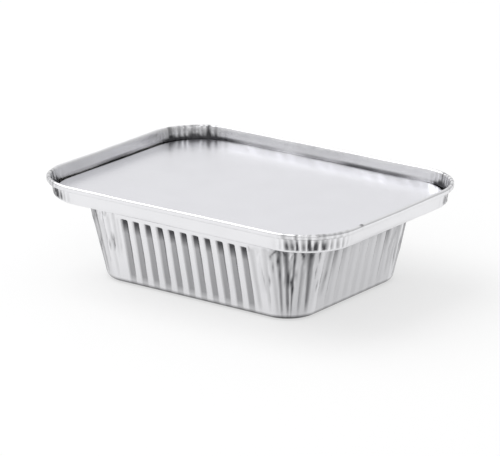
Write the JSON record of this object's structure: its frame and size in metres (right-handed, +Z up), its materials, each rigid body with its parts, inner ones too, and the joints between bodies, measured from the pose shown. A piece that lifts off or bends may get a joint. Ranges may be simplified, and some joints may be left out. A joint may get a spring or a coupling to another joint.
{
  "type": "foil food container with lid",
  "caption": "Small oblong foil food container with fluted leaning walls, pleated corners, a flat ledge, an upright rolled lip and a loose flat foil-faced lid.",
  "frame": {"origin": "on the surface the container stands on, under the middle of its base", "axes": "+X along the length, +Y across, +Z up out of the open side"},
  "size_m": [0.14, 0.104, 0.04],
  "materials": {
    "tray_foil": "bright, slightly crinkled foil",
    "lid_face": "smooth bright foil face on board"
  },
  "bodies": {
    "root": {"foil_tray": "tray_foil", "foil_lid": "lid_face"}
  },
  "joints": []
}
